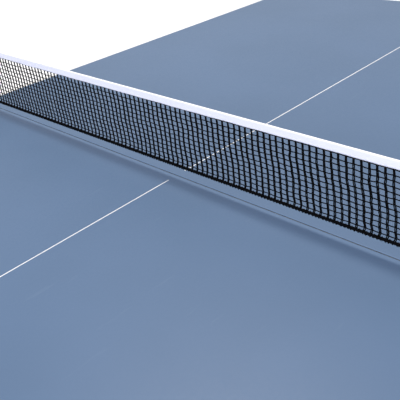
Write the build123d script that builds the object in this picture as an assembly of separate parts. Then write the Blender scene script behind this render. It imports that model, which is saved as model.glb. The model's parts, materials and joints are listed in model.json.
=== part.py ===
from build123d import *
import os

# Folding ping pong table on a wheeled chassis. Millimetres, +Z up, floor at z = 0.
# X runs along the table, Y across it, and the net stands at x = 0. The half at -X is "a" and
# the half at +X is "b"; "left" is the +Y side and "right" is the -Y side.
# Each piece is built at +X and +Y and mirrored to where it is needed.

os.makedirs("parts", exist_ok=True)

# Playing boards
TABLE_LENGTH = 2740.0
TABLE_WIDTH = 1525.0
PLAY_HEIGHT = 760.0
BOARD_THICK = 19.0
BOARD_EDGE_ROUND = 1.0
BOARD_CORNER_ROUND = 6.0
SEAM_GAP = 2.0

# Corner rounding of every square and rectangular tube
TUBE_ROUND = 3.0

# Rails under the boards
RAIL_WIDTH = 20.0
RAIL_DEPTH = 50.0
RAIL_WALL = 2.0
RAIL_INSET = 10.0
INNER_RAIL_DEPTH = 20.0
GUARD_PROUD = 2.0
GUARD_ROUND = 9.0

# Screws that hold the rails to the boards
SCREW_RADIUS = 2.5
SCREW_HEAD_RADIUS = 5.0
SCREW_HEAD_HEIGHT = 3.0
SCREW_BITE = 12.0
SCREWS_PER_SIDE_RAIL = 4
SCREWS_PER_END_RAIL = 4
SCREW_END_MARGIN = 110.0

# Fold pivot of each half on the chassis, and leg pivot under each half
FOLD_X = 350.0
PIVOT_DROP = 60.0
LEG_X = 1150.0
PLATE_THICK = 6.0
SECTOR_RADIUS = 62.0
HINGE_PLATE_RADIUS = 30.0
PIVOT_RADIUS = 6.0
PIVOT_SPACER_RADIUS = 11.0
PIVOT_HEAD_RADIUS = 10.0
PIVOT_HEAD_HEIGHT = 7.0
NUT_HEIGHT = 9.0
RUNNING = 0.05
SIDE_PLAY = 0.4

# Lock plunger of each half
LOCK_DROP = 45.0
LOCK_RADIUS = 5.0
LOCK_HOLE_PLAY = 0.3
LOCK_SLEEVE_RADIUS = 9.0
LOCK_TIP_SETBACK = 4.5
LOCK_REACH_IN = 20.0
LOCK_KNOB_RADIUS = 15.0
LOCK_KNOB_LENGTH = 18.0

# Square posts of the chassis and the end legs
POST_SIZE = 30.0
POST_WALL = 2.0
POST_TOP_MARGIN = 16.0
LINK_SPACE = 22.5

# Tie rods that keep the end legs upright
TIE_OFFSET_X = 42.0
TIE_OFFSET_Z = 80.0
TIE_PIN_RADIUS = 5.0
TIE_EYE_RADIUS = 13.0
TIE_THICK = 12.0
TIE_OPEN_PLAY = 0.5
TIE_HEAD_RADIUS = 8.0
TIE_HEAD_HEIGHT = 6.0
LUG_THICK = 5.0
LUG_RADIUS = 15.0

# Chassis beams
BEAM_HALF_LENGTH = 410.0
BEAM_DEPTH = 40.0
BEAM_OVER_WHEEL = 34.0
BEAM_WALL = 2.5
CROSS_BEAM_WIDTH = 60.0

# End legs
LEG_BOTTOM = 30.0
LEG_BAR_SIZE = 25.0
LEG_BAR_Z = 240.0
FOOT_RADIUS = 23.0
FOOT_PAD_HEIGHT = 12.0
FOOT_PAD_ROUND = 3.0
FOOT_STEM_RADIUS = 5.0
FOOT_STEM_TOP = 72.0

# Net, net posts and net arms
NET_HEIGHT = 152.5
NET_OVERHANG = 152.5
NET_TAPE_WIDTH = 15.0
NET_TAPE_THICK = 3.0
NET_MESH_THICK = 1.2
NET_CORD_RADIUS = 2.8
NET_CORD_Z = 20.0
NET_POST_RADIUS = 8.0
NET_POST_WALL = 2.0
NET_POST_BOTTOM = 550.0
CAP_HEIGHT = 7.5
CAP_ROUND = 3.0
CAP_SPIGOT = 12.0
ARM_WIDTH = 20.0
ARM_TOP = 575.0
ARM_DEPTH = 20.0
SOCKET_RADIUS = 13.0
SOCKET_BOTTOM = 540.0
SOCKET_TOP = 625.0
SOCKET_PLAY = 0.1
KNOB_Z = 600.0
KNOB_RADIUS = 14.0
KNOB_LENGTH = 18.0
KNOB_STAND_OFF = 10.0
KNOB_STEM_RADIUS = 3.0
KNOB_TIP_PLAY = 0.4
KNOB_FLUTES = 6
KNOB_FLUTE_RADIUS = 4.0

# Swivel casters
CASTER_X = 370.0
WHEEL_RADIUS = 50.0
WHEEL_WIDTH = 30.0
WHEEL_ROUND = 5.0
HUB_RADIUS = 16.0
HUB_WIDTH = 38.0
WHEEL_DISH_RADIUS = 37.0
WHEEL_DISH_DEPTH = 5.0
AXLE_RADIUS = 4.0
CASTER_TRAIL = 35.0
CHEEK_THICK = 4.0
CHEEK_PLAY = 1.0
CHEEK_AXLE_RADIUS = 14.0
FORK_HEAD_RADIUS = 25.0
FORK_HEAD_HEIGHT = 10.0
FORK_TOP_PLAY = 0.5
KINGPIN_RADIUS = 6.0
KINGPIN_LENGTH = 20.0
PEDAL_HINGE_X = 36.0
PEDAL_OVER_WHEEL = 12.0
PEDAL_BARREL_RADIUS = 6.0
PEDAL_PIN_RADIUS = 3.0
PEDAL_WIDTH = 34.0
PEDAL_REACH = 60.0
PEDAL_THICK = 4.0
PEDAL_DROP = 4.0

# Places worked out from the sizes above
HALF_WIDTH = TABLE_WIDTH / 2
BOARD_UNDER = PLAY_HEIGHT - BOARD_THICK
RAIL_OUT_Y = HALF_WIDTH - RAIL_INSET
RAIL_IN_Y = RAIL_OUT_Y - RAIL_WIDTH
RAIL_MID_Y = RAIL_OUT_Y - RAIL_WIDTH / 2
RAIL_BOTTOM = BOARD_UNDER - RAIL_DEPTH
END_OUT_X = TABLE_LENGTH / 2 - RAIL_INSET
END_IN_X = END_OUT_X - RAIL_WIDTH
INNER_X = SEAM_GAP / 2 + RAIL_INSET
PLATE_IN_Y = RAIL_IN_Y - PLATE_THICK
PIVOT_Z = PLAY_HEIGHT - PIVOT_DROP
POST_OUT_Y = PLATE_IN_Y - LINK_SPACE
POST_IN_Y = POST_OUT_Y - POST_SIZE
POST_MID_Y = POST_OUT_Y - POST_SIZE / 2
POST_TOP = PIVOT_Z + POST_TOP_MARGIN
BEAM_BOTTOM = 2 * WHEEL_RADIUS + BEAM_OVER_WHEEL
BEAM_TOP = BEAM_BOTTOM + BEAM_DEPTH
LOCK_Z = PIVOT_Z - LOCK_DROP
TIE_Z = PIVOT_Z - TIE_OFFSET_Z
TIE_IN_Y = POST_OUT_Y + LUG_THICK + SIDE_PLAY
TIE_OUT_Y = TIE_IN_Y + TIE_THICK
TIE_HEAD_Y = TIE_OUT_Y + SIDE_PLAY
NET_POST_Y = HALF_WIDTH + NET_OVERHANG - NET_POST_RADIUS
NET_END_Y = NET_POST_Y - NET_POST_RADIUS
NET_TOP = PLAY_HEIGHT + NET_HEIGHT
TAPE_BOTTOM = NET_TOP - NET_TAPE_WIDTH
NET_CORD_CENTRE_Z = PLAY_HEIGHT + NET_CORD_Z
NET_POST_TOP = NET_TOP - CAP_HEIGHT
FORK_TOP = BEAM_BOTTOM - FORK_TOP_PLAY
CHEEK_IN = HUB_WIDTH / 2 + CHEEK_PLAY
CHEEK_OUT = CHEEK_IN + CHEEK_THICK
PEDAL_HINGE_Z = 2 * WHEEL_RADIUS + PEDAL_OVER_WHEEL


def block(x, y, z):
    """Solid box between the limits given as (low, high) pairs."""
    limits = (x, y, z)
    centre = [(low + high) / 2 for low, high in limits]
    return Pos(*centre) * Box(*[high - low for low, high in limits])


def hollow_bar(x, y, z, wall, along, open_ends=False):
    """Rectangular tube with rounded long edges that runs along the named axis."""
    limits = {"X": x, "Y": y, "Z": z}
    inside = [
        (low, high) if open_ends and name == along else (low + wall, high - wall)
        for name, (low, high) in limits.items()
    ]
    axis = {"X": Axis.X, "Y": Axis.Y, "Z": Axis.Z}[along]
    outside = block(x, y, z)
    long_edges = outside.edges().filter_by(axis)
    return fillet(long_edges, TUBE_ROUND) - block(*inside)


def round_y(x, z, radius, y):
    """Round bar along Y between two limits."""
    low, high = y
    return Pos(x, (low + high) / 2, z) * Rot(90, 0, 0) * Cylinder(radius, high - low)


def round_z(x, y, radius, z):
    """Round bar along Z between two limits."""
    low, high = z
    return Pos(x, y, (low + high) / 2) * Cylinder(radius, high - low)


def hexagon_y(x, z, radius, y):
    """Hexagonal bar along Y, as a bolt head or a nut."""
    low, high = y
    return Pos(x, low, z) * Rot(-90, 0, 0) * extrude(RegularPolygon(radius, 6), high - low)


def plate_y(outline, y):
    """Plate whose outline lies in X-Z, between two Y limits."""
    low, high = y
    return Pos(0, high, 0) * extrude(Plane.XZ * outline, high - low)


def at_corner(piece, end, side):
    """Mirror a piece built at +X and +Y to the given end and side of the table."""
    if end < 0:
        piece = mirror(piece, about=Plane.YZ)
    if side < 0:
        piece = mirror(piece, about=Plane.XZ)
    return piece


def group(pieces):
    """Several separate solids that share one node."""
    return Compound(children=[solid for piece in pieces for solid in piece.solids()])


def spread(low, high, count):
    """Evenly spaced places from low to high."""
    return [low + (high - low) * step / (count - 1) for step in range(count)]


# Boards, rails and their screws

def side_screw_places():
    """Screw places (x, y) along the side rail at +Y."""
    ends = (INNER_X + SCREW_END_MARGIN, END_IN_X - SCREW_END_MARGIN)
    return [(x, RAIL_MID_Y) for x in spread(*ends, SCREWS_PER_SIDE_RAIL)]


def end_screw_places():
    """Screw places (x, y) along the end rail."""
    reach = RAIL_IN_Y - SCREW_END_MARGIN
    return [(END_IN_X + RAIL_WIDTH / 2, y) for y in spread(-reach, reach, SCREWS_PER_END_RAIL)]


def all_screw_places():
    """Screw places of one whole half."""
    sides = [(x, y * side) for x, y in side_screw_places() for side in (1, -1)]
    return sides + end_screw_places()


def screw_holes(places, top):
    """Clearance holes for board screws, from below the rails up to the given height."""
    start = RAIL_BOTTOM - SCREW_HEAD_HEIGHT
    return [round_z(x, y, SCREW_RADIUS + RUNNING, (start, top)) for x, y in places]


def top_board():
    length = (SEAM_GAP / 2, TABLE_LENGTH / 2)
    board = block(length, (-HALF_WIDTH, HALF_WIDTH), (BOARD_UNDER, PLAY_HEIGHT))
    outer_corners = board.edges().filter_by(Axis.Z).group_by(Axis.X)[-1]
    board = fillet(outer_corners, BOARD_CORNER_ROUND)
    board = fillet(board.faces().sort_by(Axis.Z)[-1].edges(), BOARD_EDGE_ROUND)
    return board - screw_holes(all_screw_places(), BOARD_UNDER + SCREW_BITE + RUNNING)


def pivot_plate(x, radius):
    """Round plate about a pivot, cut off flat under the board."""
    disc = round_y(x, PIVOT_Z, radius, (PLATE_IN_Y, RAIL_IN_Y))
    below_board = block((x - radius, x + radius), (PLATE_IN_Y, RAIL_IN_Y), (0, BOARD_UNDER))
    hole = round_y(x, PIVOT_Z, PIVOT_RADIUS + RUNNING, (PLATE_IN_Y, RAIL_IN_Y))
    return (disc & below_board) - hole


def side_rail():
    """Side rail with its welded fold plate, drilled for the lock in both positions, and leg plate."""
    rail_y = (RAIL_IN_Y, RAIL_OUT_Y)
    rail = hollow_bar((INNER_X, END_IN_X), rail_y, (RAIL_BOTTOM, BOARD_UNDER), RAIL_WALL, "X")
    rail -= screw_holes(side_screw_places(), BOARD_UNDER)
    for x in (FOLD_X, LEG_X):
        rail -= round_y(x, PIVOT_Z, PIVOT_RADIUS + SIDE_PLAY, rail_y)
    sector = pivot_plate(FOLD_X, SECTOR_RADIUS)
    for x, z in ((FOLD_X, LOCK_Z), (FOLD_X - LOCK_DROP, PIVOT_Z)):
        sector -= round_y(x, z, LOCK_RADIUS + LOCK_HOLE_PLAY, (PLATE_IN_Y, RAIL_IN_Y))
    return rail + sector + pivot_plate(LEG_X, HINGE_PLATE_RADIUS)


def end_rail():
    reach = (-RAIL_IN_Y, RAIL_IN_Y)
    depth = (RAIL_BOTTOM, BOARD_UNDER)
    rail = hollow_bar((END_IN_X, END_OUT_X), reach, depth, RAIL_WALL, "Y", open_ends=True)
    return rail - screw_holes(end_screw_places(), BOARD_UNDER)


def inner_rail():
    width = (INNER_X, INNER_X + RAIL_WIDTH)
    depth = (BOARD_UNDER - INNER_RAIL_DEPTH, BOARD_UNDER)
    return hollow_bar(width, (-RAIL_IN_Y, RAIL_IN_Y), depth, RAIL_WALL, "Y", open_ends=True)


def corner_guards():
    """Plastic corners that close the ends of the side and end rails."""
    x = (END_IN_X, END_OUT_X + GUARD_PROUD)
    y = (RAIL_IN_Y, RAIL_OUT_Y + GUARD_PROUD)
    guard = block(x, y, (RAIL_BOTTOM, BOARD_UNDER))
    outer = guard.edges().filter_by(Axis.Z).sort_by(lambda edge: edge.center().X + edge.center().Y)[-1]
    guard = fillet(outer, GUARD_ROUND)
    return group([at_corner(guard, 1, side) for side in (1, -1)])


def board_screws():
    screws = []
    for x, y in all_screw_places():
        head = round_z(x, y, SCREW_HEAD_RADIUS, (RAIL_BOTTOM - SCREW_HEAD_HEIGHT, RAIL_BOTTOM))
        shank = round_z(x, y, SCREW_RADIUS, (RAIL_BOTTOM, BOARD_UNDER + SCREW_BITE))
        screws.append(head + shank)
    return group(screws)


# Chassis

def side_beam():
    """Lower beam on one side of the chassis, drilled underneath for the caster kingpins."""
    length = (-BEAM_HALF_LENGTH, BEAM_HALF_LENGTH)
    beam = hollow_bar(length, (POST_IN_Y, POST_OUT_Y), (BEAM_BOTTOM, BEAM_TOP), BEAM_WALL, "X")
    for x in (-CASTER_X, CASTER_X):
        drill = (BEAM_BOTTOM, BEAM_BOTTOM + BEAM_WALL)
        beam -= round_z(x, POST_MID_Y, KINGPIN_RADIUS + RUNNING, drill)
    return beam


def cross_beam():
    width = (-CROSS_BEAM_WIDTH / 2, CROSS_BEAM_WIDTH / 2)
    height = (BEAM_BOTTOM, BEAM_TOP)
    return hollow_bar(width, (-POST_IN_Y, POST_IN_Y), height, BEAM_WALL, "Y", open_ends=True)


def tie_lug(post_x):
    """Lug welded on the outer face of a post, reaching out to a tie-rod pin."""
    pin_x = post_x + TIE_OFFSET_X
    y = (POST_OUT_Y, POST_OUT_Y + LUG_THICK)
    arm = block((post_x - POST_SIZE / 2, pin_x), y, (TIE_Z - LUG_RADIUS, TIE_Z + LUG_RADIUS))
    lug = arm + round_y(pin_x, TIE_Z, LUG_RADIUS, y)
    return lug - round_y(pin_x, TIE_Z, TIE_PIN_RADIUS + RUNNING, y)


def square_post(x, bottom, wall):
    """Square tube that carries a pivot near its top and a tie-rod lug."""
    width = (x - POST_SIZE / 2, x + POST_SIZE / 2)
    y = (POST_IN_Y, POST_OUT_Y)
    post = hollow_bar(width, y, (bottom, POST_TOP), wall, "Z")
    post -= round_y(x, PIVOT_Z, PIVOT_RADIUS + RUNNING, y)
    return post + tie_lug(x)


def upright(with_lock):
    post = square_post(FOLD_X, BEAM_TOP, POST_WALL)
    if with_lock:
        sleeve = (POST_OUT_Y, PLATE_IN_Y - LOCK_TIP_SETBACK - RUNNING)
        post += round_y(FOLD_X, LOCK_Z, LOCK_SLEEVE_RADIUS, sleeve)
        bore = (POST_IN_Y, PLATE_IN_Y)
        post -= round_y(FOLD_X, LOCK_Z, LOCK_RADIUS + RUNNING, bore)
    return post


def net_arm():
    """Column on the side beam with an outrigger and the socket for a net post."""
    half = ARM_WIDTH / 2
    column_y = (POST_IN_Y, POST_OUT_Y)
    column = hollow_bar((-half, half), column_y, (BEAM_TOP, ARM_TOP), POST_WALL, "Z")
    reach = (POST_OUT_Y - POST_WALL, NET_POST_Y)
    depth = (ARM_TOP - ARM_DEPTH, ARM_TOP)
    outrigger = hollow_bar((-half, half), reach, depth, POST_WALL, "Y")
    height = (SOCKET_BOTTOM, SOCKET_TOP)
    socket = round_z(0, NET_POST_Y, SOCKET_RADIUS, height)
    bore = round_z(0, NET_POST_Y, NET_POST_RADIUS + SOCKET_PLAY, height)
    screw = (NET_POST_Y, NET_POST_Y + SOCKET_RADIUS)
    thread = round_y(0, KNOB_Z, KNOB_STEM_RADIUS + RUNNING, screw)
    return column + outrigger + socket - bore - thread


def pivot_bolt(x):
    """Hinge bolt from the outer face of a side rail to the inner face of a post."""
    head_y = RAIL_OUT_Y + SIDE_PLAY
    tail_y = POST_IN_Y - NUT_HEIGHT
    head = hexagon_y(x, PIVOT_Z, PIVOT_HEAD_RADIUS, (head_y, head_y + PIVOT_HEAD_HEIGHT))
    bolt = head + round_y(x, PIVOT_Z, PIVOT_RADIUS, (tail_y, head_y))
    hole = round_y(x, PIVOT_Z, PIVOT_RADIUS + RUNNING, (tail_y, head_y))
    nut = hexagon_y(x, PIVOT_Z, PIVOT_HEAD_RADIUS, (tail_y, POST_IN_Y)) - hole
    spacer_y = (POST_OUT_Y, PLATE_IN_Y - SIDE_PLAY)
    spacer = round_y(x, PIVOT_Z, PIVOT_SPACER_RADIUS, spacer_y) - hole
    return [bolt, spacer, nut]


def tie_bolt(post_x):
    """Tie-rod pin bolted through a lug."""
    x = post_x + TIE_OFFSET_X
    tail_y = POST_OUT_Y - NUT_HEIGHT
    head = hexagon_y(x, TIE_Z, TIE_HEAD_RADIUS, (TIE_HEAD_Y, TIE_HEAD_Y + TIE_HEAD_HEIGHT))
    bolt = head + round_y(x, TIE_Z, TIE_PIN_RADIUS, (tail_y, TIE_HEAD_Y))
    hole = round_y(x, TIE_Z, TIE_PIN_RADIUS + RUNNING, (tail_y, TIE_HEAD_Y))
    nut = hexagon_y(x, TIE_Z, TIE_HEAD_RADIUS, (tail_y, POST_OUT_Y)) - hole
    return [bolt, nut]


def bolts_at(post_x, ends):
    """Pivot and tie-rod bolts of the posts at the given ends, on both sides of the table."""
    pieces = pivot_bolt(post_x) + tie_bolt(post_x)
    return group([at_corner(piece, end, side) for end in ends for side in (1, -1) for piece in pieces])


def lock_plunger():
    """Spring plunger with a pull knob, parked clear of the sector plate."""
    tip_y = PLATE_IN_Y - LOCK_TIP_SETBACK
    knob_out_y = POST_IN_Y - LOCK_REACH_IN
    pin = round_y(FOLD_X, LOCK_Z, LOCK_RADIUS, (knob_out_y, tip_y))
    knob_y = (knob_out_y - LOCK_KNOB_LENGTH, knob_out_y)
    return pin + round_y(FOLD_X, LOCK_Z, LOCK_KNOB_RADIUS, knob_y)


# End legs and tie rods

def leg_tube():
    """Leg with a nut plate at its foot for the levelling screw."""
    leg = square_post(LEG_X, LEG_BOTTOM, POST_WALL)
    drill = (LEG_BOTTOM, LEG_BOTTOM + POST_WALL)
    return leg - round_z(LEG_X, POST_MID_Y, FOOT_STEM_RADIUS + RUNNING, drill)


def leg_crossbar():
    half = LEG_BAR_SIZE / 2
    height = (LEG_BAR_Z - half, LEG_BAR_Z + half)
    width = (LEG_X - half, LEG_X + half)
    return hollow_bar(width, (-POST_IN_Y, POST_IN_Y), height, POST_WALL, "Y", open_ends=True)


def levelling_foot():
    pad = round_z(LEG_X, POST_MID_Y, FOOT_RADIUS, (0, FOOT_PAD_HEIGHT))
    pad = fillet(pad.faces().sort_by(Axis.Z)[-1].edges(), FOOT_PAD_ROUND)
    return pad + round_z(LEG_X, POST_MID_Y, FOOT_STEM_RADIUS, (FOOT_PAD_HEIGHT, FOOT_STEM_TOP))


def tie_rod():
    """Rod between a chassis pin and a leg pin; the eye at the leg is the opened pivot."""
    root_x = FOLD_X + TIE_OFFSET_X
    leg_x = LEG_X + TIE_OFFSET_X
    y = (TIE_IN_Y, TIE_OUT_Y)
    length = leg_x - root_x
    bar = Cylinder(TIE_THICK / 2, length)
    bar = Pos(root_x + length / 2, (TIE_IN_Y + TIE_OUT_Y) / 2, TIE_Z) * Rot(0, 90, 0) * bar
    rod = bar + round_y(root_x, TIE_Z, TIE_EYE_RADIUS, y) + round_y(leg_x, TIE_Z, TIE_EYE_RADIUS, y)
    rod -= round_y(root_x, TIE_Z, TIE_PIN_RADIUS + RUNNING, y)
    return rod - round_y(leg_x, TIE_Z, TIE_PIN_RADIUS + TIE_OPEN_PLAY, y)


# Net

def net_post():
    height = (NET_POST_BOTTOM, NET_POST_TOP)
    tube = round_z(0, NET_POST_Y, NET_POST_RADIUS, height)
    return tube - round_z(0, NET_POST_Y, NET_POST_RADIUS - NET_POST_WALL, height)


def post_caps():
    cap = round_z(0, NET_POST_Y, NET_POST_RADIUS, (NET_POST_TOP, NET_TOP))
    cap = fillet(cap.faces().sort_by(Axis.Z)[-1].edges(), CAP_ROUND)
    spigot_radius = NET_POST_RADIUS - NET_POST_WALL - RUNNING
    cap += round_z(0, NET_POST_Y, spigot_radius, (NET_POST_TOP - CAP_SPIGOT, NET_POST_TOP))
    return group([at_corner(cap, 1, side) for side in (1, -1)])


def net_band(thick, z):
    """Upright band along the whole net."""
    return block((-thick / 2, thick / 2), (-NET_END_Y, NET_END_Y), z)


def clamp_knob():
    """Fluted knob whose screw presses on a net post."""
    tip_y = NET_POST_Y + NET_POST_RADIUS + KNOB_TIP_PLAY
    start = NET_POST_Y + SOCKET_RADIUS + KNOB_STAND_OFF
    body_y = (start, start + KNOB_LENGTH)
    body = round_y(0, KNOB_Z, KNOB_RADIUS, body_y)
    flute = round_y(KNOB_RADIUS + KNOB_FLUTE_RADIUS / 2, KNOB_Z, KNOB_FLUTE_RADIUS, body_y)
    axis = Axis((0, 0, KNOB_Z), (0, 1, 0))
    for step in range(KNOB_FLUTES):
        body -= flute.rotate(axis, step * 360 / KNOB_FLUTES)
    return body + round_y(0, KNOB_Z, KNOB_STEM_RADIUS, (tip_y, start))


# Casters, built with the kingpin on the Z axis and the wheel trailing towards +X

def caster_fork(with_pedal):
    """Fork with its kingpin, wheel axle and, on a braked caster, the pedal pin."""
    head_z = (FORK_TOP - FORK_HEAD_HEIGHT, FORK_TOP)
    fork = round_z(0, 0, FORK_HEAD_RADIUS, head_z)
    fork += round_z(0, 0, KINGPIN_RADIUS, (FORK_TOP, FORK_TOP + KINGPIN_LENGTH))
    crown_x = PEDAL_HINGE_X + PEDAL_BARREL_RADIUS
    fork += block((0, crown_x - PEDAL_BARREL_RADIUS * 2 - CHEEK_PLAY), (-CHEEK_OUT, CHEEK_OUT), head_z)
    crown = Pos((crown_x - FORK_HEAD_RADIUS) / 2, FORK_TOP - FORK_HEAD_HEIGHT)
    crown *= Rectangle(crown_x + FORK_HEAD_RADIUS, FORK_HEAD_HEIGHT * 2)
    foot = Pos(CASTER_TRAIL, WHEEL_RADIUS) * Circle(CHEEK_AXLE_RADIUS)
    outline = make_hull(crown.edges() + foot.edges())
    for low, high in ((CHEEK_IN, CHEEK_OUT), (-CHEEK_OUT, -CHEEK_IN)):
        fork += plate_y(outline, (low, high))
    pins = [(CASTER_TRAIL, WHEEL_RADIUS, AXLE_RADIUS)]
    if with_pedal:
        pins.append((PEDAL_HINGE_X, PEDAL_HINGE_Z, PEDAL_PIN_RADIUS))
    for x, z, radius in pins:
        fork += round_y(x, z, radius, (-CHEEK_OUT, CHEEK_OUT))
    return fork


def caster_wheel():
    """Wheel with a rounded tread, dished sides and a wider hub."""
    wheel = Rot(90, 0, 0) * Cylinder(WHEEL_RADIUS, WHEEL_WIDTH)
    wheel = fillet(wheel.edges().filter_by(GeomType.CIRCLE), WHEEL_ROUND)
    for side in (1, -1):
        face = side * WHEEL_WIDTH / 2
        dish = sorted((face, face - side * WHEEL_DISH_DEPTH))
        wheel -= round_y(0, 0, WHEEL_DISH_RADIUS, dish)
    hub_y = (-HUB_WIDTH / 2, HUB_WIDTH / 2)
    wheel += round_y(0, 0, HUB_RADIUS, hub_y)
    wheel -= round_y(0, 0, AXLE_RADIUS + RUNNING, hub_y)
    return Pos(CASTER_TRAIL, 0, WHEEL_RADIUS) * wheel


def brake_pedal():
    """Foot pedal that tips down towards the tyre."""
    half = PEDAL_WIDTH / 2
    y = (-half, half)
    low_z = PEDAL_HINGE_Z - PEDAL_DROP
    tread = block((PEDAL_HINGE_X, PEDAL_HINGE_X + PEDAL_REACH), y, (low_z, low_z + PEDAL_THICK))
    barrel = round_y(PEDAL_HINGE_X, PEDAL_HINGE_Z, PEDAL_BARREL_RADIUS, y)
    pedal = tread + barrel
    return pedal - round_y(PEDAL_HINGE_X, PEDAL_HINGE_Z, PEDAL_PIN_RADIUS + RUNNING, y)


def caster_at(piece, end, side):
    """Place a caster piece under a chassis corner, trailing away from the net."""
    return at_corner(Pos(CASTER_X, POST_MID_Y, 0) * piece, end, side)


ENDS = {"a": -1, "b": 1}
SIDES = {"left": 1, "right": -1}
LOCK_SIDE = "right"
BRAKE_SIDE = "right"

parts = {
    "cross_beam": cross_beam(),
    "chassis_bolts": bolts_at(FOLD_X, (1, -1)),
    "net_mesh": net_band(NET_MESH_THICK, (NET_CORD_CENTRE_Z + NET_CORD_RADIUS, TAPE_BOTTOM)),
    "net_tape": net_band(NET_TAPE_THICK, (TAPE_BOTTOM, NET_TOP)),
    "net_cord": round_y(0, NET_CORD_CENTRE_Z, NET_CORD_RADIUS, (-NET_END_Y, NET_END_Y)),
    "post_caps": post_caps(),
}
for side_name, side in SIDES.items():
    parts[f"side_beam_{side_name}"] = at_corner(side_beam(), 1, side)
    parts[f"net_arm_{side_name}"] = at_corner(net_arm(), 1, side)
    parts[f"net_post_{side_name}"] = at_corner(net_post(), 1, side)
    parts[f"clamp_knob_{side_name}"] = at_corner(clamp_knob(), 1, side)
for end_name, end in ENDS.items():
    parts[f"top_board_{end_name}"] = at_corner(top_board(), end, 1)
    parts[f"end_rail_{end_name}"] = at_corner(end_rail(), end, 1)
    parts[f"inner_rail_{end_name}"] = at_corner(inner_rail(), end, 1)
    parts[f"corner_guards_{end_name}"] = group([at_corner(corner_guards(), end, 1)])
    parts[f"board_screws_{end_name}"] = group([at_corner(board_screws(), end, 1)])
    parts[f"leg_crossbar_{end_name}"] = at_corner(leg_crossbar(), end, 1)
    parts[f"leg_bolts_{end_name}"] = bolts_at(LEG_X, (end,))
    parts[f"lock_plunger_{end_name}"] = at_corner(lock_plunger(), end, SIDES[LOCK_SIDE])
    for side_name, side in SIDES.items():
        corner = f"{end_name}_{side_name}"
        parts[f"side_rail_{corner}"] = at_corner(side_rail(), end, side)
        parts[f"upright_{corner}"] = at_corner(upright(side_name == LOCK_SIDE), end, side)
        parts[f"leg_{corner}"] = at_corner(leg_tube(), end, side)
        parts[f"levelling_foot_{corner}"] = at_corner(levelling_foot(), end, side)
        parts[f"tie_rod_{corner}"] = at_corner(tie_rod(), end, side)
        braked = side_name == BRAKE_SIDE
        parts[f"caster_fork_{corner}"] = caster_at(caster_fork(braked), end, side)
        parts[f"caster_wheel_{corner}"] = caster_at(caster_wheel(), end, side)
        if braked:
            parts[f"brake_pedal_{corner}"] = caster_at(brake_pedal(), end, side)

for name, piece in parts.items():
    export_step(piece, f"parts/{name}.step")
print(len(parts), "nodes written")
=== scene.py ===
# %% [markdown]
# # A folding ping pong table, finished in Blender
#
# The engineering model already holds every tube, bolt and wheel of this table at its real size.
# Blender's part of the work is what the eye judges: lacquer, line paint, a hand-knotted looking net
# with its folded cotton tape, powder-coated tubes, zinc plate, moulded plastic and rubber.
# The engineering model is loaded first and used as a fixed frame. Every new piece is placed from
# its boxes, and rides on one of its bodies, so that the table still folds and rolls afterwards.

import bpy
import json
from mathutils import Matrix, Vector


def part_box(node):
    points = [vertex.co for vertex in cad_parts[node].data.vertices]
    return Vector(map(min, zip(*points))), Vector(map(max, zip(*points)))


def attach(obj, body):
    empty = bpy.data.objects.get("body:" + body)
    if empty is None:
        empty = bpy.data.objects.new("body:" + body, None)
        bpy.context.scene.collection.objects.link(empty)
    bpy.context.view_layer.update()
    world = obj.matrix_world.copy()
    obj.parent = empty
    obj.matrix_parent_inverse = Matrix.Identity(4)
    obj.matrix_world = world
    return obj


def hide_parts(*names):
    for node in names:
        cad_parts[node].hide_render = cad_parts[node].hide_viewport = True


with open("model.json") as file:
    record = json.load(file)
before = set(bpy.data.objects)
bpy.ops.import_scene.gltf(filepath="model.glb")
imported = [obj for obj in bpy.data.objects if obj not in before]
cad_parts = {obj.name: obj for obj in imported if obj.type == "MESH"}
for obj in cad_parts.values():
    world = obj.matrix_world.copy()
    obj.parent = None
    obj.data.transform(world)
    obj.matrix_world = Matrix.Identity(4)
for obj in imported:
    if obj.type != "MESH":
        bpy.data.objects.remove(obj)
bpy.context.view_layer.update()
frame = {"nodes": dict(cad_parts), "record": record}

# %% Modules and the few helpers that every cell uses
import json
import math
import random

import bmesh
import bpy
from mathutils import Matrix, Vector

MM = 0.001
X, Y, Z = Vector((1, 0, 0)), Vector((0, 1, 0)), Vector((0, 0, 1))


def linear(hex_code):
    """A colour as it is picked on a screen, turned to the linear values that shaders use."""
    parts = [int(hex_code[i:i + 2], 16) / 255 for i in (0, 2, 4)]
    return [c / 12.92 if c <= 0.04045 else ((c + 0.055) / 1.055) ** 2.4 for c in parts] + [1.0]


def add(tree, kind, inputs=None, **settings):
    """Adds one node: settings are its options, inputs its sockets, each a value or a link."""
    node = tree.nodes.new(kind)
    for name, value in settings.items():
        setattr(node, name, value)
    for name, value in (inputs or {}).items():
        if isinstance(value, bpy.types.NodeSocket):
            tree.links.new(value, node.inputs[name])
        else:
            node.inputs[name].default_value = value
    return node


def piece(name, bm, body, finishes, replaces=()):
    """Turns a bmesh into a piece of the table: it rides on a body and wears its finishes."""
    mesh = bpy.data.meshes.new(name)
    bm.to_mesh(mesh)
    bm.free()
    thing = bpy.data.objects.new(name, mesh)
    bpy.context.scene.collection.objects.link(thing)
    for finish in finishes:
        mesh.materials.append(finish)
    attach(thing, body)
    if replaces:
        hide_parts(*replaces)
    print(f"{name}: {len(mesh.polygons)} faces")
    return thing


# %% [markdown]
# ## Camera
#
# The picture is taken by someone standing beside the net, over the near half of the table. The lens
# is a normal one of about 51 mm, and the camera is rolled a few degrees, as a hand-held one is.
# The three camera axes are built from its yaw, pitch and roll, which is easier to read than a
# rotation in one go: first the way it looks, then its right side and top, then the roll.

# %% Camera
CAMERA_PLACE = Vector((-0.6106, -0.7057, 1.2577))
CAMERA_YAW = 0.8175
CAMERA_PITCH = -0.5383
CAMERA_ROLL = -0.11543
CAMERA_LENS = 51.10

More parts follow.
